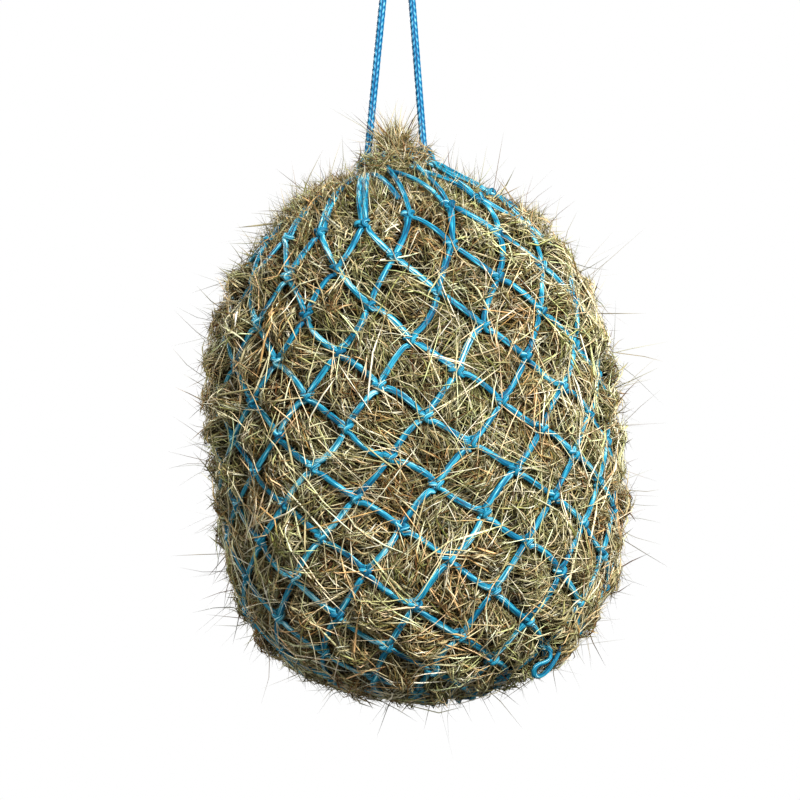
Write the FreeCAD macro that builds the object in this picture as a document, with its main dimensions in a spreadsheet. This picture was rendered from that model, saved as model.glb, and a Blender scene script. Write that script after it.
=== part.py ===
"""Hay net: a knotted diamond-mesh bag of blue twine filled with hay, hung by its drawcord.

Frame: millimetres, +Z up, +X to the right seen from the front, the front faces -Y.
The origin is the centre of the drawcord's bend over the hook that carries the net.
"""
import FreeCAD, Part
import math
import os
import random
import Sketcher

Vector = FreeCAD.Vector
doc = FreeCAD.newDocument("hay_net")

# ---------------------------------------------------------------- driving dimensions
DIMENSIONS = {
    "twine_diameter": 5.4,         # netting twine
    "cord_diameter": 7.0,          # braided drawcord
    "hook_bend_radius": 7.6,       # centre line of the drawcord's bend over the hook
    "sway_gap": 3.2,               # free cord between the bend and the two legs
    "swing_gap": 15.6,             # from the mouth cord's centre line up to a leg's end
    "left_mouth_side": -37.3,      # X where the left leg meets the mouth cord
    "left_mouth_height": -226.6,
    "right_mouth_side": 17.8,      # X where the right leg meets the mouth cord
    "right_mouth_height": -218.1,
    "mouth_depth_radius": 24.0,    # half depth of the drawn mouth, front to back
    "bag_radius": 184.0,           # netting surface at the widest level
    "upper_height": 288.0,         # from the widest level up to the mouth end
    "lower_height": 204.0,         # from the widest level down to the bottom end
    "upper_fullness": 2.9,         # exponents of the two halves of the bag's outline
    "lower_fullness": 3.2,
    "bag_side": 1.6,               # X and Z of the bag's axis at the widest level
    "bag_level": -522.3,
    "bag_lean": 3.07,              # degrees that the bag's top leans to -X
    "hay_inset": 7.0,              # hay body below the netting surface
    "knot_radius": 6.2,            # netting knots
    "meshes_round": 16,
    "bottom_ring_radius": 31.0,    # gathering cord under the bag
    "bottom_cord_diameter": 5.4,
    "tuft_base_radius": 12.5,      # hay standing up through the drawn mouth
    "tuft_waist_radius": 15.0,
    "tuft_tip_radius": 4.0,
    "tuft_height": 92.0,
    "join_height": -44.0,          # centre of the knot that joins the drawcord's ends
    "join_radius": 10.5,
    "join_length": 26.0,
    "tail_length": 22.0,
    "stem_diameter": 1.8,          # loose hay stems that stand out through the meshes
    "stem_reach": 30.0,
}

sheet = doc.addObject("Spreadsheet::Sheet", "dimensions")
for row_number, (alias, size) in enumerate(DIMENSIONS.items(), start=1):
    sheet.set("A%d" % row_number, alias)
    sheet.set("B%d" % row_number, str(size))
    sheet.setAlias("B%d" % row_number, alias)
doc.recompute()


def dim(alias):
    """The number in the sheet's cell of that alias."""
    return float(getattr(sheet, alias))


TWINE_RADIUS = dim("twine_diameter") / 2
CORD_RADIUS = dim("cord_diameter") / 2
MESHES = int(dim("meshes_round"))
CLEARANCE = 0.3
UP = Vector(0, 0, 1)

parts = []           # (document object, node name)


def keep(obj, node):
    """Give a sub-part its node name and list it for writing."""
    obj.Label = node
    parts.append((obj, node))
    return obj


def feature(node, shape, place=None):
    """A sub-part whose shape comes from Part's own functions."""
    obj = doc.addObject("Part::Feature", node)
    obj.Shape = shape
    obj.Placement = place or FreeCAD.Placement()
    return keep(obj, node)


# ---------------------------------------------------------------- tubes
def rounded_wire(points, corner_radius=None):
    """Straight runs between the points, joined by tangent arcs at the inner points.

    An arc's radius is 0.45 of the shorter run divided by the tangent of half the turn, or
    corner_radius where that is smaller.  Returns the wire and the arc radii.
    """
    edges = []
    radii = []
    start = points[0]
    for before, corner, after in zip(points, points[1:], points[2:]):
        back = before - corner
        ahead = after - corner
        turn = math.pi - back.getAngle(ahead)
        if turn < math.radians(0.5):
            continue
        half_tangent = math.tan(turn / 2)
        radius = 0.45 * min(back.Length, ahead.Length) / half_tangent
        if corner_radius:
            radius = min(radius, corner_radius)
        cut = radius * half_tangent
        enter = corner + back.normalize() * cut
        leave = corner + ahead.normalize() * cut
        bisector = (back + ahead).normalize()
        middle = corner + bisector * (math.hypot(cut, radius) - radius)
        edges.append(Part.LineSegment(start, enter).toShape())
        edges.append(Part.Arc(enter, middle, leave).toShape())
        radii.append(radius)
        start = leave
    edges.append(Part.LineSegment(start, points[-1]).toShape())
    return Part.Wire(edges), radii


def tube(points, radius, corner_radius=None):
    """A round solid along the rounded wire through the points; its volume is compared."""
    wire, radii = rounded_wire(points, corner_radius)
    circle = Part.Circle(points[0], points[1] - points[0], radius).toShape()
    shape = wire.makePipeShell([Part.Wire([circle])], True, False)
    expected = math.pi * radius ** 2 * wire.Length
    if abs(shape.Volume / expected - 1) > 0.01:
        raise RuntimeError("tube volume %.0f, expected %.0f" % (shape.Volume, expected))
    return shape, radii


# ---------------------------------------------------------------- the bag's surface
LEAN = math.radians(dim("bag_lean"))
BAG_CENTRE = Vector(dim("bag_side"), 0, dim("bag_level"))
BAG_AXIS = Vector(-math.sin(LEAN), 0, math.cos(LEAN))
BAG_ACROSS = Vector(math.cos(LEAN), 0, math.sin(LEAN))

# The netting's own poles are turned from the bag's axis: the courses run aslant round it.
NET_CENTRE = BAG_CENTRE + Vector(0, 0, 9)
NET_TILT_SIDE = 0.131
NET_TILT_BACK = 0.0737
FIRST_COLUMN = 0.2827
MIDDLE_ROW = 6
LAST_ROW = 14


def outline_radius(height):
    """Radius of the netting surface at a height along the bag's axis, 0 beyond its ends."""
    upper = height > 0
    end = dim("upper_height") if upper else dim("lower_height")
    fullness = dim("upper_fullness") if upper else dim("lower_fullness")
    return dim("bag_radius") * math.sqrt(max(0.0, 1 - (abs(height) / end) ** fullness))


def row_angle(row):
    """Angle of a row of knots from the netting's upper pole, in radians."""
    steps = row - MIDDLE_ROW
    return 1.40 + 0.1626 * steps + 0.00098 * steps ** 2 + 0.000165 * steps ** 3


def pole_turned(direction):
    """Turn a direction from the netting's own frame into the part's frame."""
    side = direction.x * math.cos(NET_TILT_SIDE) - direction.z * math.sin(NET_TILT_SIDE)
    rise = direction.x * math.sin(NET_TILT_SIDE) + direction.z * math.cos(NET_TILT_SIDE)
    depth = direction.y * math.cos(NET_TILT_BACK) - rise * math.sin(NET_TILT_BACK)
    rise = direction.y * math.sin(NET_TILT_BACK) + rise * math.cos(NET_TILT_BACK)
    return Vector(side, depth, rise)


def on_surface(direction):
    """The point of the netting surface that lies in that direction from the net's centre."""
    near = 0.0
    far = 400.0
    for _ in range(40):
        reach = (near + far) / 2
        offset = NET_CENTRE + direction * reach - BAG_CENTRE
        height = offset.dot(BAG_AXIS)
        radius = math.hypot(offset.dot(BAG_ACROSS), offset.y)
        if radius < outline_radius(height):
            near = reach
        else:
            far = reach
    return NET_CENTRE + direction * near


def net_point(row, column):
    """Where a knot of a given row and column sits; both may be fractions."""
    polar = row_angle(row)
    azimuth = FIRST_COLUMN + 2 * math.pi * column / MESHES
    direction = Vector(math.sin(polar) * math.sin(azimuth),
                       -math.sin(polar) * math.cos(azimuth), math.cos(polar))
    return on_surface(pole_turned(direction))


def knot_column(row, index):
    """Alternate rows stand half a mesh round."""
    return index + (0.5 if row % 2 else 0.0)


def down_the_net(row, column):
    """Unit direction along the netting from the mouth to the bottom."""
    return (net_point(row + 0.1, column) - net_point(row - 0.1, column)).normalize()


# ---------------------------------------------------------------- drawcord
LEFT_MOUTH = Vector(dim("left_mouth_side"), 0, dim("left_mouth_height"))
RIGHT_MOUTH = Vector(dim("right_mouth_side"), 0, dim("right_mouth_height"))
BEND = dim("hook_bend_radius")


def leg_top(mouth, side):
    """Where a straight leg from the mouth touches the bend over the hook; side is -1 or 1."""
    reach = math.hypot(mouth.x, mouth.z)
    from_foot = math.asin(BEND / reach)
    direction = math.atan2(mouth.x, -mouth.z)
    turn = direction - side * from_foot
    return Vector(side * BEND * math.cos(turn), 0, side * BEND * math.sin(turn))


LEFT_TOP = leg_top(LEFT_MOUTH, -1)
RIGHT_TOP = leg_top(RIGHT_MOUTH, 1)


def cord_piece(node, start, end):
    """A straight length of drawcord as a cylinder bound to the sheet."""
    obj = doc.addObject("Part::Cylinder", node)
    obj.setExpression("Radius", "dimensions.cord_diameter / 2")
    obj.Height = (end - start).Length
    obj.Placement = FreeCAD.Placement(start, FreeCAD.Rotation(UP, end - start))
    return keep(obj, node)


def drawcord():
    """The bend over the hook, the two straight legs, and the knot that joins the ends."""
    bend = doc.addObject("Part::Torus", "drawcord_bend")
    bend.setExpression("Radius1", "dimensions.hook_bend_radius")
    bend.setExpression("Radius2", "dimensions.cord_diameter / 2")
    from_right = math.degrees(math.atan2(RIGHT_TOP.z, RIGHT_TOP.x))
    from_left = math.degrees(math.atan2(LEFT_TOP.z, LEFT_TOP.x)) % 360
    bend.Angle3 = from_left - from_right
    spin = FreeCAD.Rotation(UP, from_right)
    stand = FreeCAD.Rotation(Vector(1, 0, 0), 90)
    bend.Placement = FreeCAD.Placement(Vector(), stand.multiply(spin))
    keep(bend, "drawcord_bend")

    left_run = (LEFT_TOP - LEFT_MOUTH).normalize()
    right_run = (RIGHT_TOP - RIGHT_MOUTH).normalize()
    lift = dim("swing_gap")
    gap = dim("sway_gap")
    cord_piece("drawcord_left_leg", LEFT_MOUTH + left_run * lift, LEFT_TOP - left_run * gap)
    join = RIGHT_MOUTH + right_run * ((dim("join_height") - RIGHT_MOUTH.z) / right_run.z)
    half = right_run * (dim("join_length") / 2)
    cord_piece("drawcord_right_leg", RIGHT_MOUTH + right_run * lift, join - half)
    cord_piece("drawcord_right_end", join + half, RIGHT_TOP - right_run * gap)
    joining_knot(join, right_run)


def joining_knot(centre, along):
    """A barrel-shaped overhand knot in both ends, and the two tails that leave it."""
    body = doc.addObject("PartDesign::Body", "joining_knot")
    sketch = body.newObject("Sketcher::SketchObject", "joining_profile")
    plane = [f for f in body.Origin.OriginFeatures if f.Role == "XZ_Plane"][0]
    sketch.AttachmentSupport = (plane, "")
    sketch.MapMode = "FlatFace"
    half = dim("join_length") / 2
    radius = dim("join_radius")
    collar = CORD_RADIUS + 0.5
    shoulder = radius * 0.93
    sketch.addGeometry(Part.LineSegment(Vector(0, -half, 0), Vector(collar, -half, 0)), False)
    sketch.addGeometry(Part.Arc(Vector(collar, -half, 0), Vector(shoulder, -half * 0.55, 0),
                                Vector(radius * 0.86, 0, 0)), False)
    sketch.addGeometry(Part.Arc(Vector(radius * 0.86, 0, 0), Vector(shoulder, half * 0.55, 0),
                                Vector(collar, half, 0)), False)
    sketch.addGeometry(Part.LineSegment(Vector(collar, half, 0), Vector(0, half, 0)), False)
    sketch.addGeometry(Part.LineSegment(Vector(0, half, 0), Vector(0, -half, 0)), False)
    turned = body.newObject("PartDesign::Revolution", "joining_barrel")
    turned.Profile = sketch
    turned.ReferenceAxis = (sketch, ["V_Axis"])
    turned.Angle = 360
    body.Placement = FreeCAD.Placement(centre, FreeCAD.Rotation(UP, along))
    keep(body, "joining_knot")
    for side, node in ((-1, "drawcord_tail_back"), (1, "drawcord_tail_front")):
        foot = centre + Vector(2.0, -side * (radius - 2.0), 3.0 * side)
        bend = foot + Vector(2.0, -side * 11.0, -3.0)
        tip = foot + Vector(8.0, -side * 15.0, -dim("tail_length") * 0.85)
        shape, radii = tube([foot, bend, tip], CORD_RADIUS)
        print(node, "radii", [round(r, 1) for r in radii])
        feature(node, shape)


# ---------------------------------------------------------------- mouth
MOUTH_CENTRE = (LEFT_MOUTH + RIGHT_MOUTH) * 0.5
MOUTH_ACROSS = (RIGHT_MOUTH - LEFT_MOUTH).normalize()
MOUTH_UP = MOUTH_ACROSS.cross(Vector(0, 1, 0))
MOUTH_HALF_WIDTH = (RIGHT_MOUTH - LEFT_MOUTH).Length / 2
MOUTH_START = 0.6737             # where the loops part between the two sides, from the front
MOUTH_BUNCH = 0.19               # how far the loops crowd to the two legs


def mouth_cord():
    """The drawcord's run through the top meshes: an oval ring, swept as a PartDesign pipe."""
    body = doc.addObject("PartDesign::Body", "mouth_cord")
    planes = {f.Role: f for f in body.Origin.OriginFeatures}
    path = body.newObject("Sketcher::SketchObject", "mouth_path")
    path.AttachmentSupport = (planes["XY_Plane"], "")
    path.MapMode = "FlatFace"
    path.addGeometry(Part.Ellipse(Vector(0, 0, 0), MOUTH_HALF_WIDTH, dim("mouth_depth_radius")))
    profile = body.newObject("Sketcher::SketchObject", "mouth_section")
    profile.AttachmentSupport = (planes["XZ_Plane"], "")
    profile.MapMode = "FlatFace"
    profile.addGeometry(Part.Circle(Vector(MOUTH_HALF_WIDTH, 0, 0), UP, CORD_RADIUS), False)
    ring = body.newObject("PartDesign::AdditivePipe", "mouth_ring")
    ring.Profile = profile
    ring.Spine = path
    tilt = math.degrees(math.atan2(MOUTH_ACROSS.z, MOUTH_ACROSS.x))
    turn = FreeCAD.Rotation(Vector(0, 1, 0), -tilt)
    body.Placement = FreeCAD.Placement(MOUTH_CENTRE, turn)
    keep(body, "mouth_cord")


def mouth_angle(index):
    """Angle round the mouth, from the front, of the loop between columns index and index + 1."""
    even = FIRST_COLUMN + 2 * math.pi * (index + 0.5) / MESHES - MOUTH_START
    return even + MOUTH_BUNCH * math.sin(2 * even)


def mouth_loop(index):
    """The three corners of a top loop that passes over, behind and under the mouth cord."""
    angle = mouth_angle(index)
    centre = MOUTH_CENTRE + MOUTH_ACROSS * (MOUTH_HALF_WIDTH * math.sin(angle))
    centre += Vector(0, -dim("mouth_depth_radius") * math.cos(angle), 0)
    outward = MOUTH_ACROSS * (math.sin(angle) / MOUTH_HALF_WIDTH)
    outward += Vector(0, -math.cos(angle) / dim("mouth_depth_radius"), 0)
    outward.normalize()
    step = CORD_RADIUS + TWINE_RADIUS + CLEARANCE
    return [centre + outward * step + MOUTH_UP * step,
            centre - outward * step + MOUTH_UP * step,
            centre - outward * step - MOUTH_UP * step]


# ---------------------------------------------------------------- bottom
BOTTOM_POLE = pole_turned(Vector(0, 0, -1))
BOTTOM_CENTRE = on_surface(BOTTOM_POLE) + BOTTOM_POLE * 1.5


def bottom_loop(index):
    """The three corners of a last-course loop that passes under, inside and over the cord."""
    angle = FIRST_COLUMN + 2 * math.pi * (index + 0.5) / MESHES
    direction = Vector(math.sin(angle), -math.cos(angle), 0)
    outward = pole_turned(direction)
    outward -= BOTTOM_POLE * outward.dot(BOTTOM_POLE)
    outward.normalize()
    centre = BOTTOM_CENTRE + outward * dim("bottom_ring_radius")
    step = dim("bottom_cord_diameter") / 2 + TWINE_RADIUS + CLEARANCE
    return [centre + outward * step + BOTTOM_POLE * step,
            centre - outward * step + BOTTOM_POLE * step,
            centre - outward * step - BOTTOM_POLE * step]


def bottom_cord():
    """The cord that gathers the last meshes under the bag, and the knot that closes it."""
    ring = doc.addObject("Part::Torus", "bottom_cord")
    ring.setExpression("Radius1", "dimensions.bottom_ring_radius")
    ring.setExpression("Radius2", "dimensions.bottom_cord_diameter / 2")
    ring.Placement = FreeCAD.Placement(BOTTOM_CENTRE, FreeCAD.Rotation(UP, BOTTOM_POLE))
    keep(ring, "bottom_cord")
    knot = doc.addObject("Part::Sphere", "bottom_knot")
    knot.setExpression("Radius", "dimensions.knot_radius * 0.95")
    between = pole_turned(Vector(math.sin(FIRST_COLUMN), -math.cos(FIRST_COLUMN), 0))
    below = BOTTOM_POLE * dim("bottom_cord_diameter")
    place = BOTTOM_CENTRE + between * (dim("bottom_ring_radius") - 7.0) + below * 0.6
    knot.Placement = FreeCAD.Placement(place, FreeCAD.Rotation())
    keep(knot, "bottom_knot")


# ---------------------------------------------------------------- netting
KNOT_SPREAD = TWINE_RADIUS + 0.4     # a course's corner from the centre of its knot
FREE_END = 4.5                       # a course's cut ends stop short of their knot's centre
CORNER_RADIUS = 3.4


def over_surface(start, end):
    """A point half way, lifted on to the netting surface where the straight line cuts in."""
    middle = (start + end) * 0.5
    direction = (middle - NET_CENTRE).normalize()
    skin = on_surface(direction)
    if (skin - NET_CENTRE).Length > (middle - NET_CENTRE).Length + 1.0:
        return [skin]
    return []


def top_course():
    """The first course: from each knot of row 0 up to the mouth cord, round it and down."""
    points = []
    for index in range(MESHES):
        here = net_point(0, index)
        there = net_point(0, index + 1)
        here -= down_the_net(0, index) * KNOT_SPREAD
        there -= down_the_net(0, index + 1) * KNOT_SPREAD
        loop = mouth_loop(index)
        points += [here] + over_surface(here, loop[0]) + loop + over_surface(loop[2], there)
    return points + [there]


def middle_course(row):
    """A course that zigzags between a row of knots and the next."""
    points = []
    for index in range(MESHES + 1):
        column = knot_column(row, index)
        points.append(net_point(row, column) + down_the_net(row, column) * KNOT_SPREAD)
        below = column + 0.5
        points.append(net_point(row + 1, below) - down_the_net(row + 1, below) * KNOT_SPREAD)
    return points[:-1]


def last_course():
    """The last course: from each knot of the last row round the gathering cord."""
    points = []
    for index in range(MESHES + 1):
        knot = net_point(LAST_ROW, index)
        points.append(knot + down_the_net(LAST_ROW, index) * KNOT_SPREAD)
        points += bottom_loop(index)
    return points[:-3]


def course(node, points):
    """One twine of the netting, with its cut ends hidden in one knot."""
    first = (points[1] - points[0]).normalize()
    last = (points[-2] - points[-1]).normalize()
    points = [points[0] + first * FREE_END] + points[1:-1] + [points[-1] + last * FREE_END]
    shape, _ = tube(points, TWINE_RADIUS, CORNER_RADIUS)
    feature(node, shape)


def knot_row(node, row):
    """The knots of one row: separate round lumps at equal steps round the bag."""
    solids = []
    for index in range(MESHES):
        place = net_point(row, knot_column(row, index))
        solids.append(Part.makeSphere(dim("knot_radius"), place))
    feature(node, Part.makeCompound(solids))


def netting():
    course("net_course_01", top_course())
    for row in range(LAST_ROW):
        course("net_course_%02d" % (row + 2), middle_course(row))
    course("net_course_%02d" % (LAST_ROW + 2), last_course())
    for row in range(LAST_ROW + 1):
        knot_row("net_knots_%02d" % (row + 1), row)


# ---------------------------------------------------------------- hay
HAY_LEVELS = [-0.985, -0.94, -0.84, -0.68, -0.46, -0.2, 0.0,
              0.2, 0.42, 0.62, 0.78, 0.89, 0.955, 0.985]


def circle_section(body, name, height_formula, radius_formula):
    """A circle sketch on the body's XY plane, lifted and sized by expressions."""
    sketch = body.newObject("Sketcher::SketchObject", name)
    plane = [f for f in body.Origin.OriginFeatures if f.Role == "XY_Plane"][0]
    sketch.AttachmentSupport = (plane, "")
    sketch.MapMode = "FlatFace"
    sketch.addGeometry(Part.Circle(Vector(0, 0, 0), UP, 10.0), False)
    sketch.addConstraint(Sketcher.Constraint("Coincident", 0, 3, -1, 1))
    sketch.addConstraint(Sketcher.Constraint("Radius", 0, 10.0))
    sketch.setExpression("Constraints[1]", radius_formula)
    sketch.setExpression(".AttachmentOffset.Base.z", height_formula)
    return sketch


def hay_fill():
    """The packed hay: circles up the bag's axis, lofted, a little inside the netting."""
    body = doc.addObject("PartDesign::Body", "hay_fill")
    sections = []
    for index, level in enumerate(HAY_LEVELS):
        half = "upper" if level > 0 else "lower"
        height = "(dimensions.%s_height - dimensions.hay_inset) * %g" % (half, level)
        radius = "(dimensions.bag_radius - dimensions.hay_inset) * sqrt(1 - pow(%g; %s))" % (
            abs(level), "dimensions.%s_fullness" % half)
        sections.append(circle_section(body, "hay_level_%02d" % index, height, radius))
    doc.recompute()
    loft = body.newObject("PartDesign::AdditiveLoft", "hay_loft")
    loft.Profile = sections[0]
    loft.Sections = sections[1:]
    body.Placement = FreeCAD.Placement(BAG_CENTRE, FreeCAD.Rotation(UP, BAG_AXIS))
    keep(body, "hay_fill")


def hay_tuft():
    """The hay that stands up through the drawn mouth between the cord's legs."""
    body = doc.addObject("PartDesign::Body", "hay_tuft")
    top = (dim("upper_height") - dim("hay_inset")) * HAY_LEVELS[-1]
    foot = BAG_CENTRE + BAG_AXIS * top
    foot += BAG_ACROSS * (MOUTH_CENTRE - foot).dot(BAG_ACROSS)
    sizes = (("0", "dimensions.tuft_base_radius"),
             ("dimensions.tuft_height * 0.28", "dimensions.tuft_base_radius"),
             ("dimensions.tuft_height * 0.5", "dimensions.tuft_waist_radius"),
             ("dimensions.tuft_height", "dimensions.tuft_tip_radius"))
    sections = [circle_section(body, "tuft_level_%d" % number, height, radius)
                for number, (height, radius) in enumerate(sizes)]
    doc.recompute()
    loft = body.newObject("PartDesign::AdditiveLoft", "tuft_loft")
    loft.Profile = sections[0]
    loft.Sections = sections[1:]
    body.Placement = FreeCAD.Placement(foot, FreeCAD.Rotation(UP, BAG_AXIS))
    keep(body, "hay_tuft")


def loose_stems():
    """Stray stems that stand out through the middle of every other mesh."""
    chance = random.Random(7)
    solids = []
    for row in range(1, LAST_ROW):
        for index in range(row % 2, MESHES, 2):
            column = knot_column(row, index) + 0.5
            place = net_point(row, column)
            along = down_the_net(row, column)
            round_net = (net_point(row, column + 0.1) - net_point(row, column - 0.1)).normalize()
            outward = round_net.cross(along)
            if outward.dot(place - NET_CENTRE) < 0:
                outward = outward * -1
            lean = along * chance.uniform(-0.5, 0.5) + round_net * chance.uniform(-0.5, 0.5)
            direction = (outward + lean).normalize()
            foot = place - direction * (dim("hay_inset") + 3.0)
            rise = direction.dot(outward)
            length = (dim("stem_reach") + dim("hay_inset") + 3.0) / rise
            radius = dim("stem_diameter") / 2
            solids.append(Part.makeCylinder(radius, length, foot, direction))
    feature("loose_stems", Part.makeCompound(solids))


# ---------------------------------------------------------------- slack loop
SLACK_ROW = 12
SLACK_COLUMN = 1


def slack_loop():
    """A slack bight of the netting twine that hangs from a knot at the lower right."""
    anchor = net_point(SLACK_ROW, SLACK_COLUMN)
    radial = Vector(anchor.x - BAG_CENTRE.x, anchor.y, 0).normalize()
    side = Vector(-radial.y, radial.x, 0)
    print("slack loop anchor", anchor, "radial", radial)
    outline = ((-3.3, -9.5), (-7.5, -17.5), (-15.5, -23.5), (-18.0, -33.0), (-12.0, -41.5),
               (0.0, -45.0), (12.0, -41.5), (18.0, -33.0), (15.5, -23.5), (7.5, -17.5),
               (3.3, -9.5))
    points = [anchor + side * across + UP * drop for across, drop in outline]
    shape, radii = tube(points, TWINE_RADIUS)
    print("slack_loop radii", [round(r, 1) for r in radii], "length",
          round(shape.Volume / (math.pi * TWINE_RADIUS ** 2), 1))
    feature("slack_loop", shape)


# ---------------------------------------------------------------- make, check, write
drawcord()
mouth_cord()
bottom_cord()
netting()
hay_fill()
hay_tuft()
loose_stems()
slack_loop()
doc.recompute()

for obj in doc.Objects:
    if "Invalid" in obj.State or "Error" in obj.State:
        raise RuntimeError("%s: %s" % (obj.Name, obj.State))
for obj, node in parts:
    if obj.Shape.isNull() or not obj.Shape.isValid():
        raise RuntimeError("%s has no valid shape" % node)

os.makedirs("parts", exist_ok=True)
for obj, node in parts:
    obj.Shape.exportStep("parts/%s.step" % node)
print(len(parts), "nodes written")
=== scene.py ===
"""Hay net: a bag of knotted blue twine packed with hay, hung by its braided drawcord.

Metres, +Z up, +X to the right seen from the front, the front faces -Y.
The origin is the centre of the drawcord's bend over its hook.
"""
import math

import bpy
import numpy as np
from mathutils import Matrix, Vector


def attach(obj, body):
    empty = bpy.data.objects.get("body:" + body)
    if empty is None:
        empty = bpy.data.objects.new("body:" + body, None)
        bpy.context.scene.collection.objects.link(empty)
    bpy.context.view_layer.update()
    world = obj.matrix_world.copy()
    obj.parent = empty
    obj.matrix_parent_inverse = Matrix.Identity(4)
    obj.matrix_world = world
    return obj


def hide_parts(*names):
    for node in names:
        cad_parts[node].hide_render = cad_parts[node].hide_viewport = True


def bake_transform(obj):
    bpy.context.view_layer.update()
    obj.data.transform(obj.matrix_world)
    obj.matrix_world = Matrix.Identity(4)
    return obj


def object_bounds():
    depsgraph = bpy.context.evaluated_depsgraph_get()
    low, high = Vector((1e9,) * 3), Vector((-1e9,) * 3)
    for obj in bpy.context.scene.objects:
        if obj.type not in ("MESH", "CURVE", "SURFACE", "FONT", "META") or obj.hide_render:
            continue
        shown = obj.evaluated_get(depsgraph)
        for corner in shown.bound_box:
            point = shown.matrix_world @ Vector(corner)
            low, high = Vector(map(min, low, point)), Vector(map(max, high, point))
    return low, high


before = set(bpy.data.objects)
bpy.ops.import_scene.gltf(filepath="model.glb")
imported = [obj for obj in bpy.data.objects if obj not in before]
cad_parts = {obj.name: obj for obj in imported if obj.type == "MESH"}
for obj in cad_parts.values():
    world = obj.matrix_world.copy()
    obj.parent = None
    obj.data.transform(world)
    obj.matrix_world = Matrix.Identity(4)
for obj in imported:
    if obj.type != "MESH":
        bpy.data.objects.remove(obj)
cad_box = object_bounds()

MM = 0.001
UP = np.array((0.0, 0.0, 1.0))
BACK = np.array((0.0, 1.0, 0.0))


def unit(vectors):
    """Each vector divided by its own length."""
    return vectors / np.maximum(np.linalg.norm(vectors, axis=-1, keepdims=True), 1e-12)


def dots(a, b):
    """Row by row scalar product, kept as a column."""
    return (a * b).sum(-1, keepdims=True)


def squared(vectors, normal):
    """The vectors less their parts along a unit normal."""
    return vectors - normal * dots(vectors, normal)


def joined(*parts):
    """Arrays stretched to one shape and set side by side along a new last axis."""
    return np.stack(np.broadcast_arrays(*parts), -1)


def along_axes(lengths, *axes):
    """Sum of three directions, each times its own column of lengths."""
    return sum(axis * lengths[..., k:k + 1] for k, axis in enumerate(axes))


def from_angles(polar, azimuth):
    """Unit direction at one angle down from +Z and another round it from the front."""
    return joined(np.sin(polar) * np.sin(azimuth), -np.sin(polar) * np.cos(azimuth),
                  np.cos(polar))


def circle(count):
    """That many angles spread evenly round a circle, from 0."""
    return 2 * math.pi * np.arange(count) / count


def smooth(low, high, x):
    """0 below low, 1 above high, and 3t^2 - 2t^3 between."""
    t = np.clip((x - low) / (high - low), 0.0, 1.0)
    return t * t * (3 - 2 * t)


# ---------------- the bag's surface
LEAN = math.radians(3.07)
BAG_CENTRE = np.array((1.6, 0.0, -522.3)) * MM
BAG_AXIS = np.array((-math.sin(LEAN), 0.0, math.cos(LEAN)))
BAG_ACROSS = np.array((math.cos(LEAN), 0.0, math.sin(LEAN)))
BAG_RADIUS = 184 * MM
UPPER_HEIGHT, UPPER_FULLNESS = 288 * MM, 2.9
LOWER_HEIGHT, LOWER_FULLNESS = 204 * MM, 3.2

NET_CENTRE = BAG_CENTRE + 9 * MM * UP
TILT_SIDE, TILT_BACK = 0.131, 0.0737
FIRST_COLUMN = 0.2827
MESHES = 16
MESH_ANGLE = 2 * math.pi / MESHES
LAST_ROW = 14
CORD = 7.0 * MM


def outline_radius(height):
    """R * sqrt(1 - (|height| / H) ** E), with H and E of the upper or the lower half."""
    above = height > 0
    end = np.where(above, UPPER_HEIGHT, LOWER_HEIGHT)
    fullness = np.where(above, UPPER_FULLNESS, LOWER_FULLNESS)
    return BAG_RADIUS * np.sqrt(np.clip(1 - (np.abs(height) / end) ** fullness, 0, None))


def on_surface(direction):
    """Where a ray from the net's centre meets the netting surface, by halving the reach."""
    near = np.zeros(direction.shape[:-1])
    far = near + 0.4
    for _ in range(26):
        reach = (near + far) / 2
        offset = NET_CENTRE - BAG_CENTRE + direction * reach[..., None]
        inside = (np.hypot(offset @ BAG_ACROSS, offset[..., 1])
                  < outline_radius(offset @ BAG_AXIS))
        near = np.where(inside, reach, near)
        far = np.where(inside, far, reach)
    return NET_CENTRE + direction * near[..., None]


def outward(points):
    """Unit normal of the netting surface: the spoke less the outline's slope up the axis."""
    offset = points - BAG_CENTRE
    height = offset @ BAG_AXIS
    spoke = unit(offset - height[..., None] * BAG_AXIS)
    step = 0.1 * MM
    slope = (outline_radius(height + step) - outline_radius(height - step)) / (2 * step)
    return unit(spoke - np.clip(slope, -40, 40)[..., None] * BAG_AXIS)


def row_angle(row):
    """Angle of a row of knots from the netting's upper pole: a cubic in the row number."""
    s = row - 6.0
    return 1.40 + 0.1626 * s + 0.00098 * s ** 2 + 0.000165 * s ** 3


def turned(first, second, angle):
    """Matrix of a turn by an angle in the plane of two of the axes."""
    matrix = np.eye(3)
    matrix[[first, second], [first, second]] = math.cos(angle)
    matrix[[first, second], [second, first]] = -math.sin(angle), math.sin(angle)
    return matrix


# The netting's poles are tipped to the side, then back.
POLE_TURN = turned(1, 2, TILT_BACK) @ turned(0, 2, TILT_SIDE)


def net_point(row, column):
    """Point of the netting surface at a row and a column, both of which may be fractions."""
    direction = from_angles(row_angle(row), FIRST_COLUMN + column * MESH_ANGLE)
    return on_surface(direction @ POLE_TURN.T)


ROW_SCALE = np.linspace(-2.6, 16.6, 400)      # rows from pole to pole


def net_place(points):
    """Row and column of points, from their direction as seen from the net's centre."""
    d = unit(points - NET_CENTRE) @ POLE_TURN
    polar = np.arccos(np.clip(d[..., 2], -1, 1))
    azimuth = np.arctan2(d[..., 0], -d[..., 1])
    row = np.interp(polar, row_angle(ROW_SCALE), ROW_SCALE)
    return row, (azimuth - FIRST_COLUMN) / MESH_ANGLE


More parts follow.
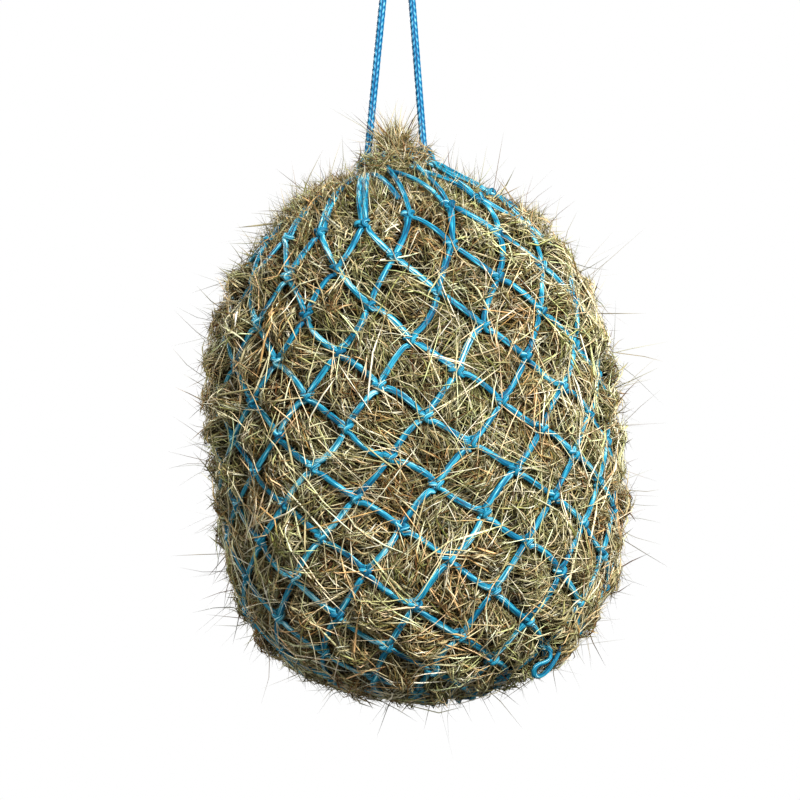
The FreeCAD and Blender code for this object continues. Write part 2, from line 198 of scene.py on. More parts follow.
def ripple(points, size, seed):
    """Smooth noise, mostly from -1 to 1: seven sine waves of random directions over 4."""
    chance = np.random.default_rng(seed)
    total = np.zeros(points.shape[:-1])
    for _ in range(7):
        direction = unit(chance.normal(size=3))
        pitch = size * chance.uniform(0.7, 1.5)
        total += np.sin(points @ direction * (2 * math.pi / pitch) + chance.uniform(0, 6.3))
    return total / 4.0


# ---------------- meshes
def mesh_object(name, points, quads, triangles):
    """An object at the origin whose mesh has those points, quads and triangles."""
    mesh = bpy.data.meshes.new(name)
    corners = np.concatenate((quads.reshape(-1), triangles.reshape(-1))).astype(np.int32)
    starts = np.concatenate((np.arange(len(quads)) * 4,
                             quads.size + np.arange(len(triangles)) * 3)).astype(np.int32)
    mesh.vertices.add(len(points))
    mesh.vertices.foreach_set("co", points.astype(np.float32).reshape(-1))
    mesh.loops.add(len(corners))
    mesh.loops.foreach_set("vertex_index", corners)
    mesh.polygons.add(len(starts))
    mesh.polygons.foreach_set("loop_start", starts)
    mesh.update(calc_edges=True)
    mesh.polygons.foreach_set("use_smooth", np.ones(len(starts), bool))
    made = bpy.data.objects.new(name, mesh)
    bpy.context.scene.collection.objects.link(made)
    return made


def note_points(made, name, values):
    """Store a number or a vector for each point of a piece, for its material to read."""
    kind, key = ("FLOAT", "value") if values.ndim == 1 else ("FLOAT_VECTOR", "vector")
    layer = made.data.attributes.new(name, kind, "POINT")
    layer.data.foreach_set(key, values.astype(np.float32).reshape(-1))


def lay_flat(made, places):
    """A flat layout of the piece's faces: a pair of numbers for each face corner."""
    layer = made.data.uv_layers.new(name="OFBake")
    layer.data.foreach_set("uv", places.astype(np.float32).reshape(-1))


def frames_along(path, hint, loose):
    """Two unit normals for each point of a path.

    The first normal is turned from ring to ring by the least turn that keeps it square to
    the path.  Where loose is 0 it is then turned on to the hint, and the turn is spread
    evenly over the rings between, where loose is 1.
    """
    tangent = unit(np.gradient(path, axis=0))
    first = np.empty_like(path)
    first[0] = unit(squared(hint[0], tangent[0]))
    for ring in range(1, len(path)):
        kept = first[ring - 1] - tangent[ring] * (first[ring - 1] @ tangent[ring])
        first[ring] = kept / math.sqrt(kept @ kept)
    second = np.cross(tangent, first)
    firm = loose < 0.5
    if firm.any():
        turn = np.arctan2(dots(hint, second)[:, 0], dots(hint, first)[:, 0])
        place = np.arange(len(path))
        turn = np.interp(place, place[firm], np.unwrap(turn[firm]))[:, None]
        first = first * np.cos(turn) + second * np.sin(turn)
        second = np.cross(tangent, first)
    return first, second


def ring_faces(rings, sides, closed=False):
    """Quads between rings of points, and the triangles of the two end caps, if open.

    The caps' centres are the two points that follow the rings' own.
    """
    ring = np.arange(rings if closed else rings - 1)[:, None]
    side = np.arange(sides)
    ahead = (ring + 1) % rings
    beside = (side + 1) % sides
    quads = joined(ring * sides + side, ring * sides + beside,
                   ahead * sides + beside, ahead * sides + side).reshape(-1, 4)
    centre = rings * sides
    last = centre - sides
    caps = np.concatenate((joined(centre, beside, side),
                           joined(centre + 1, last + side, last + beside)))
    return quads, caps[:0] if closed else caps


def tube(name, path, first, second, radius, closed=False):
    """Skin round a path: centre + first * a + second * b, where radius gives a and b.

    radius has a pair of numbers for each ring and each side.  Open ends get a cap.
    """
    rings, sides = radius.shape[:2]
    points = path[:, None] + along_axes(radius, first[:, None], second[:, None])
    points = points.reshape(-1, 3)
    quads, caps = ring_faces(rings, sides, closed)
    if not closed:
        points = np.concatenate((points, path[[0, -1]]))
    made = mesh_object(name, points, quads, caps)
    spans = len(quads) // sides
    spans_in_row = math.ceil(math.sqrt(spans * 1.6))
    rows = math.ceil(spans / spans_in_row)
    span, part = (index.reshape(-1, 1) for index in np.indices((spans, sides)))
    across = (span % spans_in_row + np.array((0, 0, 1, 1))) / spans_in_row
    along = span // spans_in_row + 0.06 + 0.88 * (part + np.array((0, 1, 1, 0))) / sides
    in_gap = np.full((caps.size, 2), (0.5 / spans_in_row, 0.1 / rows))
    lay_flat(made, np.concatenate((joined(across, along / rows).reshape(-1, 2), in_gap)))
    return made


def lay_notes(made, sides, length, twist, closed=False):
    """Each point's angle round the tube, as cosine and sine, and its length along it."""
    angle = circle(sides) + twist[:, None]
    lay = joined(np.cos(angle), np.sin(angle), length[:, None]).reshape(-1, 3)
    if not closed:
        lay = np.concatenate((lay, lay[[0, -1]]))
    note_points(made, "lay", lay)


def spline_points(name, route, steps=24):
    """The points of a smooth line whose control points are the route's points."""
    curve = bpy.data.curves.new(name, "CURVE")
    curve.dimensions = "3D"
    curve.resolution_u = steps
    line = curve.splines.new("NURBS")
    line.points.add(len(route) - 1)
    line.points.foreach_set("co", np.column_stack((route, np.ones(len(route)))).reshape(-1))
    line.order_u = 3
    line.use_endpoint_u = True
    holder = bpy.data.objects.new(name, curve)
    mesh = bpy.data.meshes.new_from_object(holder)
    points = np.empty(len(mesh.vertices) * 3, np.float32)
    mesh.vertices.foreach_get("co", points)
    bpy.data.objects.remove(holder)
    bpy.data.meshes.remove(mesh)
    bpy.data.curves.remove(curve)
    return points.reshape(-1, 3).astype(float)


def evenly(path, spacing, *others):
    """The path, and what goes with it, at points about spacing apart.

    The spacing is one number, or one for each point.
    """
    step = np.linalg.norm(np.diff(path, axis=0), axis=1)
    local = (spacing[1:] + spacing[:-1]) / 2 if np.ndim(spacing) else spacing
    reach = np.concatenate(((0,), np.cumsum(step / local)))
    at = np.linspace(0, reach[-1], max(8, int(reach[-1])))
    return [np.stack([np.interp(at, reach, column) for column in part.T], -1)
            for part in (path, *others)]


def length_along(path):
    """Length of the path up to each of its points."""
    return np.concatenate(((0,), np.cumsum(np.linalg.norm(np.diff(path, axis=0), axis=1))))


# ---------------- camera
CAMERA_PLACE = np.array((-12.2, -2174, -448.9)) * MM
CAMERA_ROLL = 1.8
FILM_WIDTH, FOCAL_LENGTH = 36, 103.5

camera = bpy.data.objects.new("camera", bpy.data.cameras.new("camera"))
camera.data.sensor_width = FILM_WIDTH
camera.data.lens = FOCAL_LENGTH
camera.location = CAMERA_PLACE
camera.rotation_euler = (math.pi / 2, math.radians(CAMERA_ROLL), 0)
bpy.context.scene.collection.objects.link(camera)
bpy.context.scene.camera = camera


# ---------------- finishes
class Wire:
    """A shader value; each arithmetic sign adds a Math node to its material."""

    def __init__(self, finish, socket):
        self.finish = finish
        self.socket = socket

    def math(self, operation, *values):
        return self.finish.add("Math", {"operation": operation}, dict(enumerate(values)))

    def __add__(self, other):
        return self.math("ADD", self, other)

    def __sub__(self, other):
        return self.math("SUBTRACT", self, other)

    def __mul__(self, other):
        return self.math("MULTIPLY", self, other)

    def __pow__(self, other):
        return self.math("POWER", self, other)

    __radd__ = __add__


class Finish:
    """A material made of nodes, with one principled shader.

    An underscore in a shader socket's name stands for a space.
    """

    def __init__(self, name, **constants):
        self.material = bpy.data.materials.new(name)
        self.material.use_nodes = True
        self.tree = self.material.node_tree
        self.tree.nodes.clear()
        self.shader = self.tree.nodes.new("ShaderNodeBsdfPrincipled")
        end = self.tree.nodes.new("ShaderNodeOutputMaterial")
        self.tree.links.new(self.shader.outputs[0], end.inputs[0])
        for socket, value in constants.items():
            self.shader.inputs[socket.replace("_", " ")].default_value = value

    def add(self, kind, settings, inputs, output=0):
        """A node of that type, its settings set first, then its sockets' values or links."""
        node = self.tree.nodes.new("ShaderNode" + kind)
        for key, value in settings.items():
            if key == "stops":
                while len(node.color_ramp.elements) < len(value):
                    node.color_ramp.elements.new(1.0)
                for stop, (place, colour) in zip(node.color_ramp.elements, value):
                    stop.position = place
                    stop.color = (*colour, 1.0)
            else:
                setattr(node, key, value)
        for key, value in inputs.items():
            self.join(value, node.inputs[key])
        return Wire(self, node.outputs[output])

    def join(self, value, socket):
        if isinstance(value, Wire):
            self.tree.links.new(value.socket, socket)
        else:
            socket.default_value = value

    def note(self, name, output="Fac"):
        return self.add("Attribute", {"attribute_name": name}, {}, output)

    def ramp(self, value, stops):
        return self.add("ValToRGB", {"stops": stops}, {"Fac": value})

    def noise(self, vector, scale, detail):
        return self.add("TexNoise", {}, {"Vector": vector, "Scale": scale, "Detail": detail},
                        "Fac")

    def streaks(self, vector, factors, detail, scale=1.0):
        """Noise drawn out along the axes whose factors are small."""
        drawn = self.add("VectorMath", {"operation": "MULTIPLY"}, {0: vector, 1: factors})
        return self.noise(drawn, scale, detail)

    def mix(self, factor, a, b, blend="MIX"):
        """Blend two colours; 0, 6 and 7 are the colour mix's factor, A and B sockets."""
        return self.add("Mix", {"data_type": "RGBA", "blend_type": blend},
                        {0: factor, 6: a, 7: b}, 2)

    def skin(self, **links):
        for socket, value in links.items():
            self.join(value, self.shader.inputs[socket.replace("_", " ")])

    def bump(self, height, strength, distance):
        self.skin(Normal=self.add("Bump", {}, {"Strength": strength, "Distance": distance,
                                               "Height": height}))


def paint(red, green, blue):
    """A screen colour of three numbers up to 255 as light."""
    def light(part):
        part /= 255
        return part / 12.92 if part <= 0.04045 else ((part + 0.055) / 1.055) ** 2.4
    return light(red), light(green), light(blue)


def twine_finish():
    """Laid polypropylene: fine lengthwise filaments of varied tone, with painted highlight where
    they stand proud and painted shade between them.
    """
    finish = Finish("laid_twine", Specular_IOR_Level=0.2)
    lay = finish.note("lay", "Vector")
    coarse = finish.streaks(lay, (1.9, 1.9, 42.0), 2.0)
    fine = finish.streaks(lay, (5.5, 5.5, 70.0), 3.0)
    patch = finish.streaks(lay, (0.3, 0.3, 14.0), 1.0)
    strand = coarse * 0.55 + fine * 0.45
    tone = strand + (patch - 0.5) * 0.3
    # Painted highlight and painted shade: the colour runs with the bump's strand height, pale on
    # the filaments' crowns and dark between them, over random patches of tone.
    colour = finish.ramp(tone, [(0.33, paint(0, 30, 52)), (0.43, paint(0, 78, 110)),
                                (0.51, paint(8, 118, 148)), (0.58, paint(62, 168, 190)),
                                (0.65, paint(196, 236, 240))])
    finish.skin(Base_Color=colour, Roughness=0.46 + fine * 0.24)
    finish.bump(strand, 0.7, 0.9 * MM)
    return finish.material


def drawcord_finish():
    """Braided polypropylene: painted shade between the strands and painted highlight on their
    crowns.
    """
    finish = Finish("braided_cord", Specular_IOR_Level=0.16)
    lay = finish.note("lay", "Vector")
    crown = finish.note("crown")
    fine = finish.streaks(lay, (6.0, 6.0, 260.0), 3.0)
    patch = finish.streaks(lay, (0.8, 0.8, 60.0), 1.0)
    # Painted shade and painted highlight: the strands' crown height darkens the colour between
    # them and brightens it on top; the fine streaks and patches are the cord's own.
    tone = crown * 0.62 + fine * 0.4 + (patch - 0.5) * 0.25
    colour = finish.ramp(tone, [(0.24, paint(0, 34, 66)), (0.45, paint(0, 76, 120)),
                                (0.68, paint(2, 110, 152)), (0.90, paint(112, 184, 208))])
    finish.skin(Base_Color=colour, Roughness=0.36 + fine * 0.2)
    finish.bump(fine, 0.5, 0.5 * MM)
    return finish.material


def hay_finish():
    """Dry stems: olive, straw and brown by stem, with painted shade deep in the fill, streaked
    along.
    """
    finish = Finish("dry_hay", Specular_IOR_Level=0.12)
    tone = finish.note("tone")
    shade = finish.note("shade")
    place = finish.add("TexCoord", {}, {}, "Object")
    mottle = finish.noise(place, 190.0, 2.0)
    value = tone + (mottle - 0.5) * 0.16
    colour = finish.ramp(value, [
        (0.00, paint(74, 50, 30)), (0.09, paint(132, 96, 58)), (0.16, paint(92, 92, 50)),
        (0.32, paint(136, 130, 84)), (0.48, paint(172, 160, 116)),
        (0.66, paint(204, 194, 152)), (0.84, paint(232, 224, 190)),
        (1.00, paint(252, 248, 230))])
    tint = finish.ramp(finish.note("hue"), [
        (0.00, (1.08, 0.74, 0.50)), (0.14, (1.06, 0.89, 0.74)), (0.34, (1.02, 0.98, 0.95)),
        (0.60, (1.00, 1.00, 1.00)), (0.82, (0.97, 1.02, 0.88)), (1.00, (0.90, 1.04, 0.70))])
    colour = finish.mix(1.0, colour, tint, "MULTIPLY")
    # Painted shade: the stem's colour goes towards near black as its shade falls.
    deep = finish.mix(shade ** 2.7, (*paint(14, 10, 1), 1.0), colour)
    finish.skin(Base_Color=deep, Roughness=0.5 + mottle * 0.25)
    return finish.material


def core_finish():
    """Hay too deep to tell its stems apart: coloured dark as painted shade, streaked every way.
    """
    finish = Finish("deep_hay_painted_shade", Specular_IOR_Level=0.1, Roughness=0.95)
    place = finish.add("TexCoord", {}, {}, "Object")
    level = finish.streaks(place, (1.0, 1.0, 4.0), 3.0, 110.0)
    slant = finish.streaks(place, (3.5, 1.0, 1.0), 3.0, 120.0)
    tone = level * 0.5 + slant * 0.5
    # The ramp's near-black colours are painted shade of the deep fill.
    finish.skin(Base_Color=finish.ramp(tone, [
        (0.38, paint(6, 5, 2)), (0.52, paint(18, 15, 7)), (0.66, paint(44, 38, 20))]))
    finish.bump(tone, 0.8, 2.0 * MM)
    return finish.material


TWINE_FINISH = twine_finish()
CORD_FINISH = drawcord_finish()
HAY_FINISH = hay_finish()
CORE_FINISH = core_finish()


def finish_piece(made, material, body):
    """Give a piece its material and its slot, and let it ride on a body."""
    made.data.materials.append(material)
    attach(made, body)
    return made


# ---------------- drawcord
LEFT_MOUTH = np.array((-37.3, 0.0, -226.6)) * MM
RIGHT_MOUTH = np.array((17.8, 0.0, -218.1)) * MM
BEND = 7.6 * MM
JOIN_HEIGHT = -44 * MM
BARREL_LENGTH = 18.46 * MM

MOUTH_CENTRE = (LEFT_MOUTH + RIGHT_MOUTH) / 2
MOUTH_ACROSS = unit(RIGHT_MOUTH - LEFT_MOUTH)
MOUTH_UP = np.cross(MOUTH_ACROSS, BACK)
MOUTH_HALF_WIDTH = np.linalg.norm(RIGHT_MOUTH - LEFT_MOUTH) / 2
MOUTH_DEPTH = 24 * MM

LEG_RUN = unit(RIGHT_MOUTH * (1, 0, 1) - np.array((BEND, 0, 0)))
JOIN = RIGHT_MOUTH + LEG_RUN * ((JOIN_HEIGHT - RIGHT_MOUTH[2]) / LEG_RUN[2])


BRAID_SIDES = 30
BRAID_COLUMNS = 6
STRAND_STEP = 6.2 * MM


def braid(name, route, radius, closed=False):
    """Braided cord along a route's smooth line.

    Six columns of strands stand round the cord, leaning left and right by turns.  With x
    from -1 to 1 across a column and y counted along in strands plus the lean, the crown is
    (1 - x^2)^0.35 * (0.25 + 0.75 |cos(pi y)|^0.6), and the radius is 0.83 to 1.04 of the
    cord's with it.
    """
    path = spline_points(name, route)
    if closed:
        path = path[:-1]
    path, = evenly(path, 0.7 * MM)
    hint = np.broadcast_to((0.0, -1.0, 0.05), path.shape)
    first, second = frames_along(path, hint, np.ones(len(path)))
    along = length_along(path)
    angle = circle(BRAID_SIDES)
    place = angle / (2 * math.pi) * BRAID_COLUMNS
    column = np.floor(place)
    x = (place - column) * 2 - 1
    lean = np.where(column % 2, 1.0, -1.0)
    y = along[:, None] / STRAND_STEP + 0.30 * lean * x + 0.5 * (column % 2)
    crown = (1 - x ** 2) ** 0.35 * (0.25 + 0.75 * np.abs(np.cos(math.pi * y)) ** 0.6)
    size = radius * (0.83 + 0.21 * crown)
    made = tube(name, path, first, second,
                joined(size * np.cos(angle), size * np.sin(angle)), closed)
    lay_notes(made, BRAID_SIDES, along, np.zeros(len(path)), closed)
    crown = crown.reshape(-1)
    note_points(made, "crown", crown if closed else np.concatenate((crown, (0.3, 0.3))))
    return made, path


def hook_bend_points():
    """Four points outside the bend over the hook, so that the smooth line touches it."""
    angle = np.radians((157.5, 112.5, 67.5, 22.5))
    reach = BEND / math.cos(math.radians(22.5))
    return joined(reach * np.cos(angle), 0.0, reach * np.sin(angle))


def cross_points(start, end, *parts):
    """Points at those parts of the straight way from start to end."""
    return np.array([start + (end - start) * part for part in parts])


LEFT_TOP = np.array((-7.55, 0.0, -1.2)) * MM
RIGHT_TOP = np.array((7.6, 0.0, 0.4)) * MM
LEFT_GATHER = LEFT_MOUTH + np.array((1.0, 0.0, 4.0)) * MM
RIGHT_GATHER = RIGHT_MOUTH + np.array((-0.2, 0.0, 4.0)) * MM


def drawcord():
    """The cord from the left gather over the hook to its knot, and from there down."""
    over = np.concatenate((cross_points(LEFT_GATHER, LEFT_TOP, 0.0, 0.25, 0.5, 0.75, 0.97),
                           hook_bend_points(),
                           cross_points(RIGHT_TOP, JOIN, 0.12, 0.6, 0.9)))
    run, run_path = braid("drawcord_over_hook", over, CORD / 2)
    run.data.materials.append(CORD_FINISH)
    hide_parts("drawcord_bend", "drawcord_left_leg", "drawcord_right_end")
    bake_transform(run)

    down = cross_points(JOIN, RIGHT_GATHER, 0.04, 0.3, 0.55, 0.8, 1.0)
    leg, leg_path = braid("drawcord_right_side", down, CORD / 2)
    finish_piece(leg, CORD_FINISH, "drawcord_legs")
    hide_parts("drawcord_right_leg")
    knot = joining_knot()


FRONT_TAIL = np.array(((3, -5, 0), (6, -10, -3), (8, -14, -9))) * MM
BACK_TAIL = np.array(((3, 5, -1), (8, 10, -3), (14, 14, -6))) * MM


def joining_knot():
    """Barrel of 3.4 turns round the cord, with two tails that stand out to the right.

    The turns are a helix: radius r at angle 2 pi t, climbing evenly along the leg, where r
    is 0.93 of the cord's width and 0.6 mm more halfway.
    """
    t = np.linspace(0, 1, 200)
    turn = 2 * math.pi * 3.4 * t
    side = np.array((LEG_RUN[2], 0, -LEG_RUN[0]))
    out = CORD * 0.93 + 0.6 * MM * np.sin(math.pi * t)
    barrel = JOIN + along_axes(
        joined(out * np.cos(turn), out * np.sin(turn), (t - 0.5) * BARREL_LENGTH),
        side, BACK, LEG_RUN)
    whole = np.concatenate(((barrel[0] + FRONT_TAIL)[::-1], barrel[::6],
                            barrel[-1] + BACK_TAIL))
    made, _ = braid("drawcord_joining_knot", whole, CORD / 2 * 0.93)
    finish_piece(made, CORD_FINISH, "drawcord_legs")
    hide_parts("joining_knot", "drawcord_tail_back", "drawcord_tail_front")
    return made


def mouth_oval(angle):
    """From the mouth's centre to its oval: half the width across by half the depth."""
    return (MOUTH_ACROSS * (MOUTH_HALF_WIDTH * np.sin(angle))[:, None]
            - BACK * (MOUTH_DEPTH * np.cos(angle))[:, None])


def mouth_cord():
    """The drawcord's run through the top meshes, all round the mouth."""
    route = MOUTH_CENTRE + mouth_oval(2 * math.pi * np.arange(161) / 160)
    made, _ = braid("mouth_cord_run", route, CORD / 2, closed=True)
    finish_piece(made, CORD_FINISH, "filled_net")
    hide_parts("mouth_cord")


# ---------------- netting twine
KNOT_UNIT = 2.75 * MM
KNOT_TWINE = 0.74                # the twine is squeezed to this part of its size in a knot
BAR_LIFT = 1.5 * MM
BAR_BOW = 2.5 * MM
BAR_PARTS = (0.14, 0.3, 0.5, 0.7, 0.86)
EACH_MESH = np.arange(MESHES)

# Both twines of a sheet bend, in knot units: across the net, up the net, and outwards.
BIGHT = np.array(((-0.8, 1.9, -0.1), (-1.0, 0.6, 0.0), (-0.9, -0.5, 0.1), (0.0, -1.25, 0.3),
                  (0.9, -0.5, 0.1), (1.0, 0.6, 0.0), (0.8, 1.9, -0.1)))
WORKING = np.array(((-1.5, -2.1, -0.1), (-0.7, -1.1, -0.9), (0.0, 0.0, -0.2),
                    (-0.5, 0.7, 1.2), (-1.9, 0.9, 0.8), (-1.9, 1.3, -0.6),
                    (0.0, 1.5, -1.3), (1.9, 1.2, -0.6), (2.1, 0.4, 0.7),
                    (0.6, 0.0, 1.7), (-0.2, -0.9, 1.2), (0.9, -1.5, 0.3), (1.5, -2.1, -0.1)))


def knot_frame(row, column):
    """Centre of a knot and its unit directions across the net, up the net and outwards."""
    centre = net_point(row, column)
    out = outward(centre)
    up = net_point(row - 0.1, column) - net_point(row + 0.1, column)
    up = unit(squared(up, out))
    return centre, np.cross(up, out), up, out


def in_knots(shape, row, columns, chance):
    """The shape's points placed in each knot of a row, each a little turned and sized."""
    centre, *axes = (part[:, None] for part in knot_frame(row, columns))
    size = KNOT_UNIT * chance.uniform(0.93, 1.1, (len(columns), 1))
    spin = chance.normal(0, 0.16, (len(columns), 1))
    x, y, z = shape.T
    spun = joined(x * np.cos(spin) - y * np.sin(spin), x * np.sin(spin) + y * np.cos(spin), z)
    return centre + size[..., None] * along_axes(spun, *axes)


def bars(row_from, column_from, row_to, column_to, chance):
    """Points along each bar on the netting surface, bowed a little to the side."""
    part = np.array(BAR_PARTS)
    row = row_from + (row_to - row_from) * part
    column = column_from[:, None] + (column_to - column_from)[:, None] * part
    points = net_point(row, column)
    out = outward(points)
    bow = chance.normal(0, BAR_BOW, (MESHES, 1, 3)) * np.sin(math.pi * part)[:, None]
    return points + squared(bow, out) + out * BAR_LIFT


def b_spline(points, steps):
    """Uniform cubic B-spline through the control points' polygon, steps points a span."""
    padded = np.concatenate((2 * points[:1] - points[1:2], points,
                             2 * points[-1:] - points[-2:-1]))
    t = (np.arange(steps) / steps)[None, :, None]
    a, b, c, d = (padded[i:len(padded) - 3 + i, None] for i in range(4))
    found = ((1 - t) ** 3 * a + (3 * t ** 3 - 6 * t ** 2 + 4) * b
             + (-3 * t ** 3 + 3 * t ** 2 + 3 * t + 1) * c + t ** 3 * d) / 6
    return np.concatenate((found.reshape(-1, points.shape[1]), points[-1:]))


TWINE_SIDES = 14
TWINE_WIDTH, TWINE_THICKNESS = 5.5 * MM, 4.0 * MM
BAR_RINGS, KNOT_RINGS = 3.4 * MM, 1.25 * MM      # spacing of the rings of points
TWIST = 9.0                                      # turns of the lay, in radians a metre


def twine(name, points, tight, body="filled_net", seed=0):
    """Netting twine along control points; tight is 1 in a knot and 0 on a free bar.

    A free bar is an oval, width by thickness, flat side outwards, that turns into a round
    of KNOT_TWINE of its size in a knot.  Alternate sides stand 5% proud as filaments.
    """
    both = b_spline(np.column_stack((points, tight)), 10)
    line, tight = both[:, :3], np.clip(both[:, 3:], 0, 1)
    gap = BAR_RINGS + (KNOT_RINGS - BAR_RINGS) * tight[:, 0]
    line, tight = evenly(line, gap, tight)
    tight = tight[:, 0]
    first, second = frames_along(line, outward(line), (tight > 0.3).astype(float))
    angle = circle(TWINE_SIDES)
    along = length_along(line)
    chance = np.random.default_rng(seed)
    swell = 1 + 0.07 * np.interp(along, np.linspace(0, along[-1], 90), chance.normal(size=90))
    round_half = (TWINE_WIDTH + TWINE_THICKNESS) / 4 * KNOT_TWINE / 0.88
    half_out, half_across = (
        ((half + (round_half - half) * tight) * swell)[:, None]
        for half in (TWINE_THICKNESS / 2, TWINE_WIDTH / 2))
    ridge = 1 + 0.05 * np.where(np.arange(TWINE_SIDES) % 2, 1.0, -1.0)
    made = tube(name, line, first, second, joined(half_out * np.cos(angle) * ridge,
                                                  half_across * np.sin(angle) * ridge))
    lay_notes(made, TWINE_SIDES, along, along * TWIST)
    return finish_piece(made, TWINE_FINISH, body), line


def whole_course(parts, flags):
    """A course's control points, mesh after mesh, and each one's tightness, from its part's."""
    tight = np.concatenate([np.full(part.shape[1], flag) for part, flag in zip(parts, flags)])
    return np.concatenate(parts, 1).reshape(-1, 3), np.tile(tight, MESHES)


def middle_course(row, seed):
    """The course between two rows of knots, and where it is tight.

    Each mesh goes: working half of a knot above, bar down, bight of a knot below, bar up,
    round the whole bag.  Alternate rows of knots stand half a mesh round.
    """
    chance = np.random.default_rng(seed)
    upper = EACH_MESH + 0.5 * (row % 2)
    lower = upper + 0.5
    return whole_course((in_knots(WORKING, row, upper, chance),
                         bars(row, upper, row + 1, lower, chance),
                         in_knots(BIGHT, row + 1, lower, chance),
                         bars(row + 1, lower, row, upper + 1, chance)), (1, 0, 1, 0))


# A loop round the mouth cord and one round the gathering cord, in units of their own:
# away from the ring's centre, towards the pole, and round the ring.
MOUTH_LOOP = np.array(((1.0, -1.4, -0.55), (1.15, 0.2, -0.4), (0.3, 1.15, -0.1),
                       (-0.9, 0.6, 0.0), (-0.6, -0.9, 0.15), (0.5, -1.3, 0.5)))
MOUTH_LOOP_UNIT = 6.6 * MM
MOUTH_TWIST, MOUTH_CROWDING = 0.6737, 0.46
BOTTOM_LOOP = np.array(((1.2, 0.5, -0.4), (0.6, 1.1, -0.2), (-0.8, 0.9, 0.0),
                        (-0.9, -0.6, 0.1), (0.6, -1.0, 0.3)))
BOTTOM_LOOP_UNIT = 5.7 * MM


def mouth_loops(chance):
    """Points of each top loop, up over the mouth cord, behind it and down again.

    The loops stand in even steps round the mouth, crowded by a sine towards the two legs.
    """
    even = FIRST_COLUMN + (EACH_MESH + 0.5) * MESH_ANGLE - MOUTH_TWIST
    angle = even + MOUTH_CROWDING * np.sin(2 * even)
    spoke = unit(MOUTH_ACROSS * (np.sin(angle) / MOUTH_HALF_WIDTH)[:, None]
                 - BACK * (np.cos(angle) / MOUTH_DEPTH)[:, None])
    side = np.cross(spoke, MOUTH_UP)
    size = chance.uniform(0.95, 1.06, (MESHES, 1, 1)) * MOUTH_LOOP_UNIT
    return (MOUTH_CENTRE + mouth_oval(angle))[:, None] + size * along_axes(
        MOUTH_LOOP, spoke[:, None], MOUTH_UP, side[:, None])


def over_shoulder(start, end, parts):
    """Points from each start to each end, lifted clear of the netting surface."""
    straight = start[:, None] + (end - start)[:, None] * np.array(parts)[:, None]
    away = straight - NET_CENTRE
    reach = np.linalg.norm(on_surface(unit(away)) - NET_CENTRE, axis=-1, keepdims=True)
    lift = np.maximum(reach - np.linalg.norm(away, axis=-1, keepdims=True), 0)
    return straight + unit(away) * (lift + 2.0 * MM)


def top_course(seed):
    """The first course: from each knot of row 0 up to the mouth cord, round it and down."""
    chance = np.random.default_rng(seed)
    knots = in_knots(BIGHT, 0, EACH_MESH, chance)
    loops = mouth_loops(chance)
    after = in_knots(BIGHT, 0, EACH_MESH + 1, np.random.default_rng(seed))
    up = over_shoulder(knots[:, -1], loops[:, 0], (0.15, 0.35, 0.55, 0.75, 0.9))
    down = over_shoulder(loops[:, -1], after[:, 0], (0.1, 0.25, 0.45, 0.65, 0.85))
    return whole_course((knots, up, loops, down), (1, 0, 0.6, 0))


BOTTOM_POLE = -UP @ POLE_TURN.T
BOTTOM_CENTRE = on_surface(BOTTOM_POLE) + BOTTOM_POLE * 1.5 * MM
BOTTOM_RING = 31 * MM


def bottom_frame(angle):
    """Point of the gathering ring under the bag at an angle, and its outward direction."""
    flat = joined(np.sin(angle), -np.cos(angle), 0.0) @ POLE_TURN.T
    spoke = unit(squared(flat, BOTTOM_POLE))
    return BOTTOM_CENTRE + spoke * BOTTOM_RING, spoke


def last_course(seed):
    """The last course: from each knot of the last row round the gathering cord and back."""
    knots = in_knots(WORKING, LAST_ROW, EACH_MESH, np.random.default_rng(seed))
    centre, spoke = bottom_frame(FIRST_COLUMN + (EACH_MESH + 0.5) * MESH_ANGLE)
    side = np.cross(BOTTOM_POLE, spoke)
    loops = centre[:, None] + BOTTOM_LOOP_UNIT * along_axes(
        BOTTOM_LOOP, spoke[:, None], BOTTOM_POLE, side[:, None])
    after = np.roll(knots, -1, 0)
    part = np.array((0.25, 0.6))[:, None]
    down = knots[:, -1:] + (loops[:, :1] - knots[:, -1:]) * part
    back = loops[:, -1:] + (after[:, :1] - loops[:, -1:]) * part
    return whole_course((knots, down, loops, back), (1, 0, 0.6, 0))


def netting():
    """Sixteen courses of twine and the fifteen rows of knots that they make together."""
    last = LAST_ROW + 2
    for number in range(1, last + 1):
        if number == 1:
            points, tight = top_course(100)
        elif number == last:
            points, tight = last_course(200)
        else:
            points, tight = middle_course(number - 2, 100 + number)
        made, _ = twine("twine_course_%02d" % number, points, tight, seed=300 + number)
        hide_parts("net_course_%02d" % number)
        if number < last:
            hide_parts("net_knots_%02d" % number)


def bottom_cord():
    """The cord that gathers the last meshes, and its knot: a trefoil with two tail points."""
    centre, _ = bottom_frame(2 * math.pi * np.arange(121) / 120)
    made, _ = braid("bottom_gathering_cord", centre, 2.7 * MM, closed=True)
    finish_piece(made, TWINE_FINISH, "filled_net")
    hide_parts("bottom_cord")
    place, spoke = bottom_frame(np.array(FIRST_COLUMN))
    side = np.cross(spoke, BOTTOM_POLE)
    t = np.linspace(0, 2 * math.pi, 40)[:-2]
    trefoil = 1.5 * joined(np.sin(t) + 2 * np.sin(2 * t), np.cos(t) - 2 * np.cos(2 * t),
                           -1.3 * np.sin(3 * t))
    shape = np.concatenate((trefoil, ((-4, 7, 3), (-10, 12, 5))))
    centre = place - spoke * 7 * MM + BOTTOM_POLE * 3.2 * MM
    route = centre + along_axes(shape * MM, spoke, side, BOTTOM_POLE)
    knot, _ = twine("bottom_cord_knot", route, np.full(len(route), 0.9))
    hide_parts("bottom_knot")


